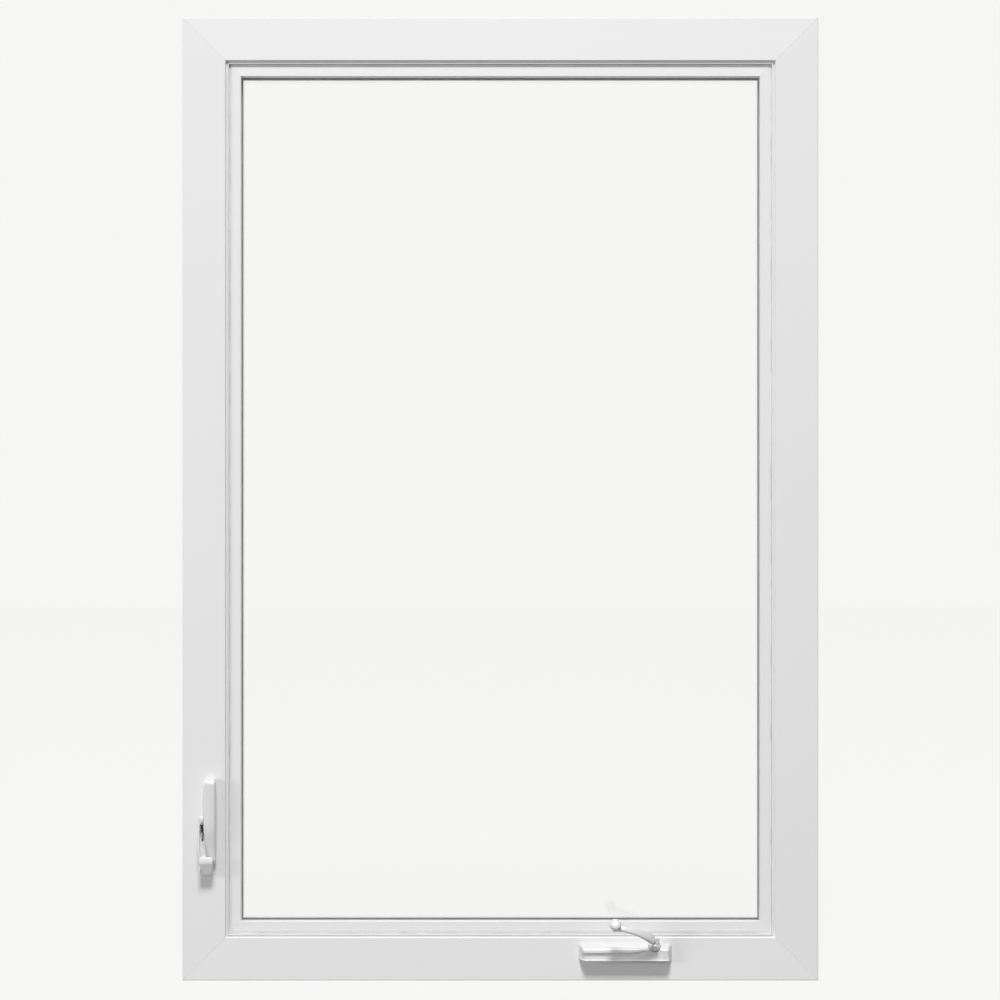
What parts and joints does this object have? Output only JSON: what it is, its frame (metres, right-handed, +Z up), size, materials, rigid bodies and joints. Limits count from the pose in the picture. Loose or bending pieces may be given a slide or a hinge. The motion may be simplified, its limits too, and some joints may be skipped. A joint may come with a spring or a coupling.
{
  "type": "casement window",
  "caption": "Outward-opening casement window: mitred frame, double-glazed sash on side pivots, folding crank operator with worm and arm, and a side lever lock.",
  "frame": {"origin": "centre of the sill's flat underside, midway between the room face and the outside face of the frame", "axes": "+Z up, +X to the right seen from the room, towards the hinges, +Y to the outside, the way the sash opens"},
  "size_m": [0.902, 0.1471, 1.366],
  "materials": {
    "vinyl": "white extruded vinyl, smooth satin",
    "cover": "white moulded, semi-gloss",
    "handle": "white enamel on die-cast zinc",
    "knob": "white moulded, semi-gloss",
    "glass": "clear float glass",
    "seal": "dark grey flexible gasket",
    "spacer": "mill finish",
    "steel": "zinc plated",
    "casting": "grey die-cast zinc",
    "nylon": "natural nylon"
  },
  "bodies": {
    "frame": {"frame_head": "vinyl", "frame_sill": "vinyl", "frame_hinge_jamb": "vinyl", "frame_lock_jamb": "vinyl", "lower_hinge_frame_plate": "steel", "lower_hinge_pin": "steel", "lower_hinge_bush": "nylon", "lower_hinge_screw_outer": "steel", "lower_hinge_screw_inner": "steel", "upper_hinge_frame_plate": "steel", "upper_hinge_pin": "steel", "upper_hinge_bush": "nylon", "upper_hinge_screw_outer": "steel", "upper_hinge_screw_inner": "steel", "operator_base": "casting", "arm_pivot_rivet": "steel", "worm_bush": "nylon", "operator_screw_left": "steel", "operator_screw_right": "steel", "operator_cover": "cover", "lock_base": "cover", "lock_screw_upper": "steel", "lock_screw_lower": "steel", "lower_tie_bar_guide": "nylon", "upper_tie_bar_guide": "nylon"},
    "sash": {"sash_top_rail": "vinyl", "sash_bottom_rail": "vinyl", "sash_hinge_stile": "vinyl", "sash_lock_stile": "vinyl", "glazing_bead_top": "vinyl", "glazing_bead_bottom": "vinyl", "glazing_bead_hinge_side": "vinyl", "glazing_bead_lock_side": "vinyl", "inner_pane": "glass", "outer_pane": "glass", "pane_spacer": "spacer", "glazing_seal": "seal", "setting_block_left": "seal", "setting_block_right": "seal", "sash_weatherstrip": "seal", "lower_hinge_sash_plate": "steel", "upper_hinge_sash_plate": "steel", "sash_track": "steel", "lower_keeper": "steel", "upper_keeper": "steel"},
    "drive_arm": {"drive_arm": "steel", "arm_stud": "steel"},
    "guide_shoe": {"guide_shoe": "nylon"},
    "crank": {"worm_shaft": "steel", "crank_hub": "handle", "hub_set_screw": "steel", "fold_pin": "steel"},
    "handle": {"crank_arm": "handle", "knob_pin": "steel"},
    "knob": {"crank_knob": "knob"},
    "lever": {"lock_lever": "handle", "lever_pivot_cam": "steel"},
    "tie_bar": {"tie_bar": "steel", "lower_lock_roller": "steel", "upper_lock_roller": "steel"}
  },
  "joints": [
    {"name": "sash_hinge", "type": "hinge", "parent": "frame", "child": "sash", "pos_m": [0.402, 0.0105, 0], "axis": [0, 0, -1], "range_deg": [0, 67.5]},
    {"name": "arm_pivot", "type": "hinge", "parent": "frame", "child": "drive_arm", "pos_m": [0.193, -0.0295, 0], "axis": [0, 0, -1], "range_deg": [0, 135]},
    {"name": "shoe_pivot", "type": "hinge", "parent": "drive_arm", "child": "guide_shoe", "pos_m": [-0.016, 0.0105, 0], "axis": [0, 0, -1], "range_deg": [-67.5, 0]},
    {"name": "crank_turn", "type": "hinge", "parent": "frame", "child": "crank", "pos_m": [0.218, -0.05548, 0.051], "axis": [0, -0.866, 0.5], "range_deg": [-5400, 0]},
    {"name": "handle_fold", "type": "hinge", "parent": "crank", "child": "handle", "pos_m": [0.218, -0.06587, 0.057], "axis": [0.1736, 0.4924, 0.8529], "range_deg": [-34, 48]},
    {"name": "knob_spin", "type": "hinge", "parent": "handle", "child": "knob", "pos_m": [0.16088, -0.09297, 0.08427], "axis": [0, -0.866, 0.5], "continuous": true},
    {"name": "lock_lever_swing", "type": "hinge", "parent": "frame", "child": "lever", "pos_m": [-0.4196, -0.0525, 0.229], "axis": [-1, 0, 0], "range_deg": [0, 150]},
    {"name": "tie_bar_slide", "type": "slide", "parent": "frame", "child": "tie_bar", "axis": [0, 0, 1], "range_m": [0, 0.02]}
  ],
  "couplings": [
    {"joint": "arm_pivot", "follows": "sash_hinge", "ratio": 2},
    {"joint": "shoe_pivot", "follows": "sash_hinge", "ratio": -1},
    {"joint": "crank_turn", "follows": "sash_hinge", "ratio": -80},
    {"joint": "tie_bar_slide", "follows": "lock_lever_swing", "m_per_rad": 0.0076394}
  ]
}
